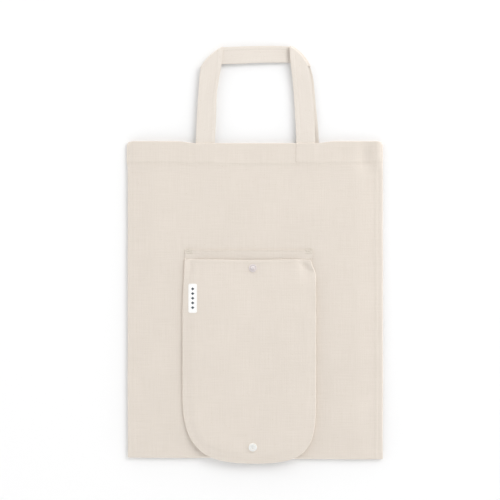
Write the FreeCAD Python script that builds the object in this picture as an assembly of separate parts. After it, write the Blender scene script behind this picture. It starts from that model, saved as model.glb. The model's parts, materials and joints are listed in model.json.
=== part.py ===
"""Foldable cotton tote bag, lying flat on its back, as separate sewn and riveted pieces.

Millimetres. +Z is up out of the front face, +Y runs from the bottom seam to the handles, +X is to the right.
The origin is under the middle of the whole outline, on the surface that the bag lies on.
The cloth is stood in for by thin plates: a back, a front, two strap handles, and a pouch that hangs from
one seam on the front. The bag folds along two lines beside the pouch, the pouch folds in half, and the
front lifts away from the back at the mouth, so the cloth is cut along the lines where it bends. Sizes
along Y are measured from the bottom seam.
"""

import os

import FreeCAD
import Part
from FreeCAD import Vector

# cloth and bag body
CLOTH = 0.6
BAG_WIDTH = 340.0
BAG_HEIGHT = 422.0
INSIDE_GAP = 6.0
HEM_HEIGHT = 30.0
SEAM_ALLOWANCE = 10.0
SEAM_STACK = 1.8
EDGE_SLOPE = 20.0
HALF_WIDTH = BAG_WIDTH / 2
FRONT_UNDER = CLOTH + INSIDE_GAP
FRONT_TOP = FRONT_UNDER + CLOTH
HEM_LOW = BAG_HEIGHT - HEM_HEIGHT

# lines where the cloth folds, and the slit left between two bodies there
LEFT_FOLD_X = -106.0
RIGHT_FOLD_X = 92.0
MOUTH_HINGE_Y = 300.0
SLIT = 0.5
LEFT_CORNER_LINE = (Vector(SEAM_ALLOWANCE - HALF_WIDTH, BAG_HEIGHT), Vector(LEFT_FOLD_X, MOUTH_HINGE_Y))
RIGHT_CORNER_LINE = (Vector(HALF_WIDTH - SEAM_ALLOWANCE, BAG_HEIGHT), Vector(RIGHT_FOLD_X, MOUTH_HINGE_Y))

# strap handles
STRAP = 1.2
STRAP_WIDTH = 25.4
LEFT_LEG_X = -65.6
RIGHT_LEG_X = 67.4
LEG_LEAN = 4.2
HANDLE_TOP_Y = 550.0
BAR_WIDTH = 22.5
LEFT_CREASE = ((-73.5, 519.0), (-43.1, HANDLE_TOP_Y))
RIGHT_BEND = ((75.0, 513.0), (67.0, 531.0), (54.0, 544.0), (44.4, HANDLE_TOP_Y))
BACK_HANDLE_SHIFT = 3.0
TAIL_LENGTH = 27.0
HANDLE_CLEAR = 1.0

# pouch
POUCH_LEFT = -95.2
POUCH_RIGHT = 81.8
POUCH_BOTTOM = -6.4
POUCH_SEAM_Y = 274.6
POUCH_TOP_Y = 277.2
POUCH_MOUTH_Y = 264.6
POUCH_FOLD_Y = 134.4
POUCH_GAP = 5.0
POUCH_LIFT_CLEAR = 0.3
POUCH_RIM = 3.0
POUCH_SLOPE = 3.5
POUCH_STACK = 1.2
LEFT_ROUND_START = 85.0
LEFT_ROUND_PULL = (75.0, 68.0)
RIGHT_ROUND_START = 72.0
RIGHT_ROUND_PULL = (66.0, 64.0)
MOUTH_HEM = 5.5
POUCH_BACK_UNDER = FRONT_TOP + POUCH_LIFT_CLEAR
POUCH_BACK_TOP = POUCH_BACK_UNDER + CLOTH
POUCH_FRONT_UNDER = POUCH_BACK_TOP + POUCH_GAP
POUCH_FRONT_TOP = POUCH_FRONT_UNDER + CLOTH

# press fastener, moulded in four pieces
SNAP_X = -2.0
SOCKET_Y = 15.6
STUD_Y = 2 * POUCH_FOLD_Y - SOCKET_Y
CAP_RADIUS = 6.2
CAP_THICK = 1.3
SNAP_RADIUS = 5.4
STUD_BASE = 1.5
NUB_RADIUS = 1.9
NUB_HEIGHT = 2.0
SOCKET_THICK = 2.6
SOCKET_HOLE_RADIUS = 2.1
SOCKET_HOLE_DEPTH = 2.2
PRONG_RADIUS = 0.9

# label and sewing thread
BAR_TACK = (9.0, 1.6)
BAR_TACK_RISE = 0.4
BAR_TACK_INSET = 1.5
LABEL_CORNER = (-87.7, 193.9)
LABEL_SIZE = (12.0, 38.6)
LABEL_THICK = 0.35
LABEL_RADIUS = 2.0
LABEL_STITCH_INSET = 1.2
THREAD_WIDTH = 0.5
THREAD_RISE = 0.2
HEM_STITCH_Y = HEM_LOW + 2.0

# the whole outline runs from the pouch's tip to the top of the handles
MIDDLE_Y = (POUCH_BOTTOM + HANDLE_TOP_Y) / 2


def plate(x0, x1, y0, y1, z0, z1):
    return Part.makeBox(x1 - x0, y1 - y0, z1 - z0, Vector(x0, y0, z0))


def closed_wire(points, z):
    return Part.makePolygon([Vector(x, y, z) for x, y in points + points[:1]])


def slab(points, z0, z1):
    """A flat polygon, given thickness."""
    return Part.Face(closed_wire(points, z0)).extrude(Vector(0, 0, z1 - z0))


def tapered_shell(outline, flange, slope, z_edge, z_flat):
    """A sheet that lies low along its sewn edges and rises to a flat middle.

    outline(inset, z) gives the sheet's closed wire, drawn in by inset on its sewn sides.
    """
    rim = Part.Face(outline(0, z_edge)).extrude(Vector(0, 0, CLOTH))
    outside = [outline(flange, z_edge + CLOTH), outline(flange + slope, z_flat + CLOTH)]
    inside = [outline(flange, z_edge), outline(flange + slope, z_flat)]
    crown = Part.makeLoft(outside, True, True)
    hollow = Part.makeLoft(inside, True, True)
    return rim.fuse(crown).cut(hollow).removeSplitter()


def rectangle_outline(x0, x1, y0, y1, sewn_left, sewn_right, sewn_bottom):
    """A rectangle whose sewn sides, marked 1, draw in and whose other sides, marked 0, stay."""

    def outline(inset, z):
        left = x0 + inset * sewn_left
        right = x1 - inset * sewn_right
        low = y0 + inset * sewn_bottom
        return closed_wire([(left, low), (right, low), (right, y1), (left, y1)], z)

    return outline


def pouch_lower_outline(inset, z, top=POUCH_FOLD_Y - SLIT):
    """The pouch's rounded lower half: two straight sides and two long round corners that meet at its tip."""
    left = POUCH_LEFT + inset
    right = POUCH_RIGHT - inset
    low = POUCH_BOTTOM + inset
    pull_down, pull_in = LEFT_ROUND_PULL
    pull_out, pull_up = RIGHT_ROUND_PULL
    left_round = Part.BezierCurve()
    left_round.setPoles([
        Vector(left, LEFT_ROUND_START, z),
        Vector(left, LEFT_ROUND_START - pull_down + inset, z),
        Vector(inset - pull_in, low, z),
        Vector(0, low, z),
    ])
    right_round = Part.BezierCurve()
    right_round.setPoles([
        Vector(0, low, z),
        Vector(pull_out - inset, low, z),
        Vector(right, RIGHT_ROUND_START - pull_up + inset, z),
        Vector(right, RIGHT_ROUND_START, z),
    ])
    corners = [Vector(right, top, z), Vector(left, top, z)]
    return Part.Wire([
        Part.makeLine(corners[1], Vector(left, LEFT_ROUND_START, z)),
        left_round.toShape(),
        right_round.toShape(),
        Part.makeLine(Vector(right, RIGHT_ROUND_START, z), corners[0]),
        Part.makeLine(corners[0], corners[1]),
    ])


def beyond_line(line, offset, toward_x):
    """A tall block over everything on one side of a line, moved off it by offset toward that side."""
    start, end = line
    along = (end - start).normalize()
    across = Vector(0, 0, toward_x).cross(along)
    reach = BAG_HEIGHT
    first = start - along * reach + across * offset
    last = end + along * reach + across * offset
    points = [first, last, last + across * reach, first + across * reach]
    return slab([(p.x, p.y) for p in points], 0, BAG_WIDTH)


def body_panels():
    """The back and front of the bag, cut at the fold lines, with the seam allowances inside."""
    columns = {
        "left": (-HALF_WIDTH, LEFT_FOLD_X - SLIT, 1, 0),
        "centre": (LEFT_FOLD_X + SLIT, RIGHT_FOLD_X - SLIT, 0, 0),
        "right": (RIGHT_FOLD_X + SLIT, HALF_WIDTH, 0, 1),
    }
    parts = {}
    for side, (x0, x1, sewn_left, sewn_right) in columns.items():
        parts[f"{side}_back_panel"] = plate(x0, x1, 0, BAG_HEIGHT, 0, CLOTH)
        top = MOUTH_HINGE_Y - SLIT if side == "centre" else BAG_HEIGHT
        outline = rectangle_outline(x0, x1, 0, top, sewn_left, sewn_right, 1)
        parts[f"{side}_front_panel"] = tapered_shell(
            outline, SEAM_ALLOWANCE, EDGE_SLOPE, CLOTH + SEAM_STACK, FRONT_UNDER)
        parts[f"{side}_bottom_seam"] = plate(x0, x1, 0, SEAM_ALLOWANCE, CLOTH, CLOTH + SEAM_STACK)
    for side, sign in (("left", -1), ("right", 1)):
        edges = sorted((sign * HALF_WIDTH, sign * (HALF_WIDTH - SEAM_ALLOWANCE)))
        parts[f"{side}_side_seam"] = plate(*edges, SEAM_ALLOWANCE, BAG_HEIGHT, CLOTH, CLOTH + SEAM_STACK)
    for side, line, toward_x in (("left", LEFT_CORNER_LINE, 1), ("right", RIGHT_CORNER_LINE, -1)):
        whole = parts[f"{side}_front_panel"]
        parts[f"{side}_front_corner"] = whole.common(beyond_line(line, SLIT, toward_x))
        parts[f"{side}_front_panel"] = whole.cut(beyond_line(line, -SLIT, toward_x))
    x0, x1 = columns["centre"][:2]
    parts["front_panel_upper"] = plate(x0, x1, MOUTH_HINGE_Y + SLIT, BAG_HEIGHT, FRONT_UNDER, FRONT_TOP)
    return parts


def tail_spans(shift=0.0):
    """The two stretches of X where a handle's ends lie in the hem."""
    half = STRAP_WIDTH / 2
    return [(x - half, x + half) for x in (LEFT_LEG_X, RIGHT_LEG_X + shift)]


def hem_layer(x0, x1, z_skin, inward, spans=()):
    """The turned-in layer of the hem, with a raised channel over each strap end.

    z_skin is the inner face of the panel, and inward is +1 or -1 for the way to the inside of the bag.
    """

    def layer(a, b, near, far):
        z = sorted((z_skin + inward * near, z_skin + inward * far))
        return plate(a, b, HEM_LOW, BAG_HEIGHT, *z)

    shape = layer(x0, x1, 0, CLOTH)
    for a, b in spans:
        shape = shape.fuse(layer(a - CLOTH, b + CLOTH, 0, STRAP + CLOTH))
        shape = shape.cut(layer(a, b, 0, STRAP))
    return shape.removeSplitter()


def hems():
    """Front and back hem in three lengths each, the strap ends in them, and their rows of thread."""
    x_left = LEFT_FOLD_X + SLIT
    x_right = RIGHT_FOLD_X - SLIT
    inner = HALF_WIDTH - SEAM_ALLOWANCE - EDGE_SLOPE
    back_inner = HALF_WIDTH - SEAM_ALLOWANCE
    shift = BACK_HANDLE_SHIFT
    parts = {
        "left_front_hem": hem_layer(-inner, LEFT_FOLD_X - SLIT, FRONT_UNDER, -1),
        "centre_front_hem": hem_layer(x_left, x_right, FRONT_UNDER, -1, tail_spans()),
        "right_front_hem": hem_layer(RIGHT_FOLD_X + SLIT, inner, FRONT_UNDER, -1),
        "left_back_hem": hem_layer(-back_inner, LEFT_FOLD_X - SLIT, CLOTH, 1),
        "centre_back_hem": hem_layer(x_left, x_right, CLOTH, 1, tail_spans(shift)),
        "right_back_hem": hem_layer(RIGHT_FOLD_X + SLIT, back_inner, CLOTH, 1),
    }
    tail_low = BAG_HEIGHT - TAIL_LENGTH
    for name, z, spans in (
        ("front_handle_ends", FRONT_UNDER - STRAP, tail_spans()),
        ("back_handle_ends", CLOTH, tail_spans(shift)),
    ):
        tails = [plate(a, b, tail_low, BAG_HEIGHT, z, z + STRAP) for a, b in spans]
        parts[name] = Part.makeCompound(tails)
    rows = {
        "left_hem_thread": (-inner, LEFT_FOLD_X - SLIT),
        "centre_hem_thread": (x_left, x_right),
        "right_hem_thread": (RIGHT_FOLD_X + SLIT, inner),
    }
    for name, (x0, x1) in rows.items():
        parts[name] = thread_row(x0, x1, HEM_STITCH_Y, FRONT_TOP)
    return parts


def thread_row(x0, x1, y, z):
    """A row of lockstitch along X, as one low bar on the cloth."""
    return plate(x0, x1, y - THREAD_WIDTH / 2, y + THREAD_WIDTH / 2, z, z + THREAD_RISE)


def handle_strap(leg_z, bar_z, shift):
    """One flat strap: two legs up from the hem, and a bar across, turned under the legs at both corners."""
    half = STRAP_WIDTH / 2
    foot = BAG_HEIGHT + HANDLE_CLEAR
    bar_low = HANDLE_TOP_Y - BAR_WIDTH
    crease_low, crease_high = LEFT_CREASE
    left_leg = [
        (LEFT_LEG_X - half, foot),
        (LEFT_LEG_X + half, foot),
        (crease_high[0] - LEG_LEAN / 2, bar_low),
        crease_high,
        crease_low,
    ]
    right_leg = [
        (RIGHT_LEG_X + shift + half, foot),
        *[(x + shift, y) for x, y in RIGHT_BEND[:-1]],
        RIGHT_BEND[-1],
        (RIGHT_BEND[-1][0] + LEG_LEAN, bar_low),
        (RIGHT_LEG_X + shift - half, foot),
    ]
    lean = (crease_high[0] - crease_low[0]) / (crease_high[1] - crease_low[1])
    bar = [
        (crease_high[0] - lean * BAR_WIDTH, bar_low),
        (RIGHT_BEND[1][0], bar_low),
        (RIGHT_BEND[2][0], RIGHT_BEND[2][1]),
        RIGHT_BEND[3],
        crease_high,
    ]
    legs = [slab(points, leg_z, leg_z + STRAP) for points in (left_leg, right_leg)]
    return slab(bar, bar_z, bar_z + STRAP).fuse(legs).removeSplitter()


def handles():
    front_leg = FRONT_UNDER - STRAP
    return {
        "front_handle_strap": handle_strap(front_leg, front_leg - STRAP, 0.0),
        "back_handle_strap": handle_strap(CLOTH, CLOTH + STRAP, BACK_HANDLE_SHIFT),
    }


def pouch_cloth():
    """Both layers of the pouch, cut at its fold, the seam allowance between them, and the sewn top edge."""
    upper_low = POUCH_FOLD_Y + SLIT
    seam_top = POUCH_SEAM_Y - SLIT
    z_rim = POUCH_BACK_TOP + POUCH_STACK
    upper = rectangle_outline(POUCH_LEFT, POUCH_RIGHT, upper_low, POUCH_MOUTH_Y, 1, 1, 0)
    parts = {
        "pouch_back_upper": plate(POUCH_LEFT, POUCH_RIGHT, upper_low, seam_top, POUCH_BACK_UNDER, POUCH_BACK_TOP),
        "pouch_front_upper": tapered_shell(upper, POUCH_RIM, POUCH_SLOPE, z_rim, POUCH_FRONT_UNDER),
        "pouch_front_lower": tapered_shell(
            pouch_lower_outline, POUCH_RIM, POUCH_SLOPE, z_rim, POUCH_FRONT_UNDER),
        "pouch_back_lower": Part.Face(pouch_lower_outline(0, POUCH_BACK_UNDER)).extrude(Vector(0, 0, CLOTH)),
    }
    rise = Vector(0, 0, POUCH_STACK)
    rim = Part.Face(pouch_lower_outline(0, POUCH_BACK_TOP)).extrude(rise)
    core = Part.Face(pouch_lower_outline(POUCH_RIM, POUCH_BACK_TOP, POUCH_FOLD_Y)).extrude(rise)
    parts["pouch_seam_lower"] = rim.cut(core)
    strips = [
        plate(x, x + POUCH_RIM, upper_low, POUCH_MOUTH_Y, POUCH_BACK_TOP, z_rim)
        for x in (POUCH_LEFT, POUCH_RIGHT - POUCH_RIM)
    ]
    parts["pouch_seam_upper"] = Part.makeCompound(strips)
    inset = POUCH_RIM + POUCH_SLOPE
    parts["pouch_mouth_hem"] = plate(
        POUCH_LEFT + inset, POUCH_RIGHT - inset, POUCH_MOUTH_Y - MOUTH_HEM, POUCH_MOUTH_Y,
        POUCH_FRONT_UNDER - CLOTH, POUCH_FRONT_UNDER)
    parts["pouch_sewn_edge"] = plate(
        POUCH_LEFT, POUCH_RIGHT, POUCH_SEAM_Y + SLIT, POUCH_TOP_Y, FRONT_TOP, FRONT_TOP + CLOTH)
    seam_y = (POUCH_SEAM_Y + SLIT + POUCH_TOP_Y) / 2
    tack_length, tack_width = BAR_TACK
    tack_starts = (POUCH_LEFT + BAR_TACK_INSET, POUCH_RIGHT - BAR_TACK_INSET - tack_length)
    tacks = [
        plate(x, x + tack_length, seam_y - tack_width / 2, seam_y + tack_width / 2,
              FRONT_TOP + CLOTH, FRONT_TOP + CLOTH + BAR_TACK_RISE)
        for x in tack_starts
    ]
    parts["pouch_bar_tacks"] = Part.makeCompound(tacks)
    parts["pouch_seam_thread"] = thread_row(
        tack_starts[0] + tack_length, tack_starts[1], seam_y, FRONT_TOP + CLOTH)
    parts["pouch_mouth_thread"] = thread_row(
        POUCH_LEFT + inset, POUCH_RIGHT - inset, POUCH_MOUTH_Y - MOUTH_HEM + 2.0, POUCH_FRONT_TOP)
    return parts


def disc(x, y, z, radius, height):
    return Part.makeCylinder(radius, height, Vector(x, y, z))


def snap_cap(y):
    """A domed cap inside the pouch with a prong up through the cloth."""
    z = POUCH_FRONT_UNDER - CAP_THICK
    dome_radius = (CAP_RADIUS**2 + CAP_THICK**2) / (2 * CAP_THICK)
    dome = Part.makeSphere(dome_radius, Vector(SNAP_X, y, z + dome_radius))
    rim = disc(SNAP_X, y, z, CAP_RADIUS, CAP_THICK)
    prong = disc(SNAP_X, y, POUCH_FRONT_UNDER, PRONG_RADIUS, CLOTH + STUD_BASE / 2)
    return rim.common(dome).fuse(prong)


def press_fastener():
    """Stud and socket on the face of the pouch, and a cap behind each."""
    z = POUCH_FRONT_TOP
    stud = disc(SNAP_X, STUD_Y, z, SNAP_RADIUS, STUD_BASE)
    edge = [e for e in stud.Edges if e.BoundBox.ZMin > z + STUD_BASE / 2]
    stud = stud.makeChamfer(STUD_BASE / 3, edge)
    nub = disc(SNAP_X, STUD_Y, z + STUD_BASE, NUB_RADIUS, NUB_HEIGHT)
    top_edge = [e for e in nub.Edges if e.BoundBox.ZMin > z + STUD_BASE + NUB_HEIGHT / 2]
    stud = stud.fuse(nub.makeFillet(NUB_HEIGHT / 4, top_edge))
    socket = disc(SNAP_X, SOCKET_Y, z, SNAP_RADIUS, SOCKET_THICK)
    edge = [e for e in socket.Edges if e.BoundBox.ZMin > z + SOCKET_THICK / 2]
    socket = socket.makeFillet(SOCKET_THICK / 3, edge)
    mouth_z = z + SOCKET_THICK - SOCKET_HOLE_DEPTH
    socket = socket.cut(disc(SNAP_X, SOCKET_Y, mouth_z, SOCKET_HOLE_RADIUS, SOCKET_HOLE_DEPTH))
    parts = {"snap_stud_cap": snap_cap(STUD_Y), "snap_socket_cap": snap_cap(SOCKET_Y)}
    parts["snap_stud"] = stud.cut(parts["snap_stud_cap"])
    parts["snap_socket"] = socket.cut(parts["snap_socket_cap"])
    return parts


def pierced(parts):
    """The pouch's front cloth with a hole for each prong."""
    for name, y in (("pouch_front_upper", STUD_Y), ("pouch_front_lower", SOCKET_Y)):
        hole = disc(SNAP_X, y, POUCH_FRONT_UNDER - CLOTH, PRONG_RADIUS, 3 * CLOTH)
        parts[name] = parts[name].cut(hole)
    return parts


def label():
    x, y = LABEL_CORNER
    width, length = LABEL_SIZE
    patch = plate(x, x + width, y, y + length, POUCH_FRONT_TOP, POUCH_FRONT_TOP + LABEL_THICK)
    upright = [e for e in patch.Edges if e.BoundBox.ZLength > LABEL_THICK / 2]

    def frame(inset):
        top = POUCH_FRONT_TOP + LABEL_THICK
        return plate(x + inset, x + width - inset, y + inset, y + length - inset, top, top + THREAD_RISE)

    stitching = frame(LABEL_STITCH_INSET).cut(frame(LABEL_STITCH_INSET + THREAD_WIDTH))
    return {"woven_label": patch.makeFillet(LABEL_RADIUS, upright), "label_thread": stitching}


def main():
    parts = {**body_panels(), **hems(), **handles(), **pierced(pouch_cloth()), **press_fastener(), **label()}
    os.makedirs("parts", exist_ok=True)
    whole = FreeCAD.BoundBox()
    for name, shape in sorted(parts.items()):
        shape.translate(Vector(0, -MIDDLE_Y, 0))
        whole.add(shape.BoundBox)
        closed = all(s.isValid() and s.Volume > 0 for s in shape.Solids)
        print(f"{name}: {len(shape.Solids)} solid(s), {shape.Volume:.0f} mm3, {'good' if closed else 'BAD'}")
        shape.exportStep(f"parts/{name}.step")
    print(f"{len(parts)} nodes, {whole}")


main()
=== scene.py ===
import json
import math

import bmesh
import bpy
import numpy as np
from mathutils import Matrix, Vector, noise


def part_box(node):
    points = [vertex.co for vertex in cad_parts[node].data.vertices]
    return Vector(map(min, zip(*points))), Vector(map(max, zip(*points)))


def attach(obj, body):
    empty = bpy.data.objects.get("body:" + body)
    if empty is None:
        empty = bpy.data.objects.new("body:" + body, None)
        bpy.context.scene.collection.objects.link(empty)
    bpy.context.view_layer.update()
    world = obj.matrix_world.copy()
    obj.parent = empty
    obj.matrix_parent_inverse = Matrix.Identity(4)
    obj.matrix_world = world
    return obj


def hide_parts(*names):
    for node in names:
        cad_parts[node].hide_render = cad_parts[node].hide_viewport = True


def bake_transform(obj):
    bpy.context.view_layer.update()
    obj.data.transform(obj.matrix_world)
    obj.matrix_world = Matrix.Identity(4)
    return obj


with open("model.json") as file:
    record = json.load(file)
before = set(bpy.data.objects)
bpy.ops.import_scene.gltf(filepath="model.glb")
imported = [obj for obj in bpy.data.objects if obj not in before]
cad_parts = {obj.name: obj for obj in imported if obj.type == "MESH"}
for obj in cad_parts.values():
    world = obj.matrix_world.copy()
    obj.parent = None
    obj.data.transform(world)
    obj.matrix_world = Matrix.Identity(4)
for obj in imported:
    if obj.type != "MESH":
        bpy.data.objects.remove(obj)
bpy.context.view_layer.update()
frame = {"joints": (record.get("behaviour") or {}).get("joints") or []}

bl_info = {
    "name": "Folding cotton tote",
    "version": (1, 0, 0),
    "blender": (4, 5, 0),
    "location": "3D View > Sidebar > Tote",
    "description": "Builds a flat cotton tote bag with a hanging pouch around its packed frame",
    "category": "Add Mesh",
}

# Lengths are in millimetres until a mesh is made. Y is measured from the bag's bottom seam.
MM = 0.001


def corners(node):
    """A frame node's lowest and highest corner, in millimetres, with Y from the row's own origin."""
    return [np.array(corner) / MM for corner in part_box(node)]


SEAM_Y = corners("centre_back_panel")[0][1]


def bag_point(point):
    """A point of the row's frame, in metres, as bag coordinates."""
    x, y, z = np.array(point, float) / MM
    return np.array((x, y - SEAM_Y, z))


def row_point(x, y, z=0.0):
    """Bag coordinates as a point of the row's frame, in metres."""
    return (x * MM, (y + SEAM_Y) * MM, z * MM)


def pivot(joint):
    return bag_point(next(j["pos_m"] for j in frame["joints"] if j["name"] == joint))


# The bag, from the frame
BAG_LEFT = corners("left_back_panel")[0][0]
BAG_RIGHT = corners("right_back_panel")[1][0]
BAG_TOP = corners("centre_back_panel")[1][1] - SEAM_Y
FRONT_FACE = corners("front_panel_upper")[1][2]
HEM_LOW = corners("centre_front_hem")[0][1] - SEAM_Y
ALLOWANCE = corners("left_side_seam")[1][0] - BAG_LEFT
FOLD_LEFT = pivot("left_side_fold")[0]
FOLD_RIGHT = pivot("right_side_fold")[0]
MIDDLE_X = (FOLD_LEFT + FOLD_RIGHT) / 2
MOUTH_HINGE = pivot("mouth_open")[1]
FRONT_CLOTH = corners("front_panel_upper")[1][2] - corners("front_panel_upper")[0][2]

# The pouch, from the frame
POUCH_LEFT = corners("pouch_back_upper")[0][0]
POUCH_RIGHT = corners("pouch_back_upper")[1][0]
POUCH_TIP = corners("pouch_back_lower")[0][1] - SEAM_Y
POUCH_TOP = corners("pouch_sewn_edge")[1][1] - SEAM_Y
POUCH_MOUTH = corners("pouch_front_upper")[1][1] - SEAM_Y
POUCH_UNDER = corners("pouch_back_upper")[0][2]
POUCH_FACE = corners("pouch_front_upper")[1][2]


# ---------------------------------------------------------------- settings


def length(name, description, size):
    """A length setting, given in millimetres and kept in metres."""
    return bpy.props.FloatProperty(
        name=name, description=description, default=size * MM, min=0, precision=5, unit="LENGTH")


def srgb(name, description, value):
    """A colour setting."""
    return bpy.props.StringProperty(
        name=name, description=description + ", as an sRGB hex value", default=value)


class ToteCloth(bpy.types.PropertyGroup):
    thickness: length("Cloth thickness", "Thickness of one layer of canvas", 0.62)
    ripple: length("Ripple", "Height of the soft waves in cloth that lies flat", 0.42)
    pucker: length("Seam pucker", "Height of the small waves beside a seam", 0.12)
    weave_pitch: length("Weave pitch", "Distance between neighbouring threads", 0.9)
    colour: srgb("Canvas colour", "Undyed cotton", "#DFD6CC")
    thread: srgb("Thread colour", "Sewing thread", "#DFD8CC")


class ToteHandle(bpy.types.PropertyGroup):
    thickness: length("Strap thickness", "Two layers of pressed cotton", 1.1)
    colour: srgb("Strap colour", "Folded cotton strap", "#E3DBD2")


class ToteStitch(bpy.types.PropertyGroup):
    spacing: length("Stitch spacing", "Distance from one stitch to the next", 3.0)
    stitch: length("Stitch length", "Length of the thread that shows in one stitch", 2.4)
    radius: length("Thread radius", "Half the thickness of the thread", 0.22)


class ToteStage(bpy.types.PropertyGroup):
    frame_width: length("Picture width", "Width of what the camera sees at the bag", 666.5)
    camera_height: length("Camera height", "Camera above the floor", 2600.0)
    sky: bpy.props.FloatProperty(
        name="Sky light", description="Strength of the even white light from all round", default=0.694)
    key: bpy.props.FloatProperty(
        name="Key light", description="Power of the large soft light at the upper right", default=3.2,
        unit="POWER")
    sun: bpy.props.FloatProperty(
        name="Slant light", description="Strength of the even light that falls from the right", default=0.65)


def setting(group, name):
    """A length setting, in millimetres."""
    return getattr(getattr(bpy.context.scene, "tote_" + group), name) / MM


def canvas_thickness():
    return setting("cloth", "thickness")


def strap_thickness():
    return setting("handle", "thickness")


# ---------------------------------------------------------------- small tools


def ramp(value, start, end):
    """0 before start, 1 after end, and smooth between them."""
    t = np.clip((value - start) / (end - start), 0, 1)
    return t * t * (3 - 2 * t)


def plateau(value, low, high, edge):
    """1 between low and high, falling to 0 over the width of edge outside them."""
    return ramp(value, low - edge, low) * (1 - ramp(value, high, high + edge))


def bump(value, centre, width):
    return np.exp(-(((value - centre) / width) ** 2))


def quarter_round(value):
    """0 at 0 and below, 1 at 1 and above, and a quarter of a circle between them."""
    return np.sqrt(1 - (1 - np.clip(value, 0, 1)) ** 2)


def soft_noise(x, y, size, seed):
    """Smooth noise from about -1 to 1 whose waves are about size mm across."""
    x, y = np.broadcast_arrays(np.asarray(x, float), np.asarray(y, float))
    values = [noise.noise((a / size, b / size, seed)) for a, b in zip(x.ravel(), y.ravel())]
    return np.array(values).reshape(x.shape)


def ruled(start, stop, step, fine=()):
    """Grid lines from start to stop, step apart, and closer where fine says: (from, to, step)."""
    lines = [start]
    while lines[-1] < stop:
        here = lines[-1]
        reach = step
        for low, high, close in fine:
            if low <= here < high:
                reach = min(reach, close)
            elif here < low < here + reach:
                reach = low - here
        lines.append(here + max(reach, 1e-3))
    lines[-1] = stop
    if len(lines) > 2 and lines[-1] - lines[-2] < 0.25 * (lines[-2] - lines[-3]):
        del lines[-2]
    return np.array(lines)


def finish_mesh(name, points, faces, material, uv=None, sharp=50.0):
    """A mesh object at the origin from points in bag coordinates."""
    metres = np.array(points, float) * MM
    metres[:, 1] += SEAM_Y * MM
    mesh = bpy.data.meshes.new(name)
    mesh.from_pydata(metres.tolist(), [], [list(map(int, face)) for face in faces])
    if uv is not None:
        layer = mesh.uv_layers.new(name="cloth")
        index = np.empty(len(mesh.loops), dtype=np.int64)
        mesh.loops.foreach_get("vertex_index", index)
        layer.data.foreach_set("uv", (np.asarray(uv, float)[index] * MM).ravel())
    built = bmesh.new()
    built.from_mesh(mesh)
    bmesh.ops.remove_doubles(built, verts=built.verts, dist=1e-6)
    bmesh.ops.dissolve_degenerate(built, edges=built.edges, dist=1e-7)
    built.to_mesh(mesh)
    built.free()
    mesh.materials.append(material)
    mesh.shade_smooth()
    mesh.set_sharp_from_angle(angle=math.radians(sharp))
    piece = bpy.data.objects.new(name, mesh)
    bpy.context.collection.objects.link(piece)
    return piece


def sheet_faces(rows, cols):
    """The faces of a closed sheet: upper points first, then the lower ones, each rows by cols."""
    up = np.arange(rows * cols).reshape(rows, cols)
    down = up + rows * cols

    def quads(a, b, c, d):
        return np.stack([p.ravel() for p in (a, b, c, d)], axis=1)

    return np.concatenate([
        quads(up[:-1, :-1], up[:-1, 1:], up[1:, 1:], up[1:, :-1]),
        quads(down[:-1, :-1], down[1:, :-1], down[1:, 1:], down[:-1, 1:]),
        quads(up[0, :-1], down[0, :-1], down[0, 1:], up[0, 1:]),
        quads(up[-1, 1:], down[-1, 1:], down[-1, :-1], up[-1, :-1]),
        quads(up[1:, 0], down[1:, 0], down[:-1, 0], up[:-1, 0]),
        quads(up[:-1, -1], down[:-1, -1], down[1:, -1], up[1:, -1]),
    ])


def sheet_piece(name, middle, thick, cut, material, sharp=50.0):
    """A closed sheet of cloth.

    middle is rows by columns of points halfway through the cloth, with columns along X and rows along Y
    where it lies face up. cut is the same grid on the flat cloth. thick is its thickness.
    """
    rows, cols = middle.shape[:2]
    normal = np.cross(np.gradient(middle, axis=1), np.gradient(middle, axis=0))
    size = np.linalg.norm(normal, axis=2)
    for row in np.nonzero(size.max(axis=1) < 1e-9)[0]:
        normal[row] = normal[row - 1] if row else normal[1]
        size[row] = size[row - 1] if row else size[1]
    normal /= np.maximum(size, 1e-12)[..., None]
    half = normal * (np.asarray(thick, float) * np.ones((rows, cols)))[..., None] / 2
    points = np.concatenate([(middle + half).reshape(-1, 3), (middle - half).reshape(-1, 3)])
    flat = np.concatenate([cut.reshape(-1, 2)] * 2)
    return finish_mesh(name, points, sheet_faces(rows, cols), material, flat, sharp)


def grid_of(xs, ys):
    """Two arrays, rows by columns, of the X and the Y of each crossing."""
    return np.broadcast_arrays(np.asarray(xs, float)[None, :], np.asarray(ys, float)[:, None])


def stack(*parts):
    return np.stack(np.broadcast_arrays(*parts), axis=-1).astype(float)


# ---------------------------------------------------------------- the shape of the cloth

EDGE_Z = 3.3           # height of the turned side and bottom seams, where front and back meet
LIP = 2.6              # how far in from a seam the cloth turns up out of it
LIP_SHARE = 0.4        # how much of its height the cloth gains over the lip
FREE = 38.0            # how far in from a seam the cloth is free of it
SEAM_RIDGE = 0.32      # how much the turned allowance lifts the cloth along its inner edge
HEM_TURN = 0.55        # radius of the fold along the mouth
HEM_STEP = 0.62        # how much the hem's inner layer lifts the cloth
HEM_GROOVE = 0.42      # how far the hem's edge pulls the cloth down
TAIL_RISE = 0.7        # how much a strap end lifts the cloth over it
LEFT_TAIL = (-77.8, -52.5)
RIGHT_TAIL = (55.9, 81.2)
HOLLOW = (147.0, 400.0)       # middle of the hollow near the right end of the hem
RIGHT_RIDGE = 163.0           # the ridge outside that hollow
LEFT_RIDGE = -155.0           # the low ridge near the hem's left end
MOUTH_DIP = 2.6               # how far the mouth dips between the handles


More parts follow.
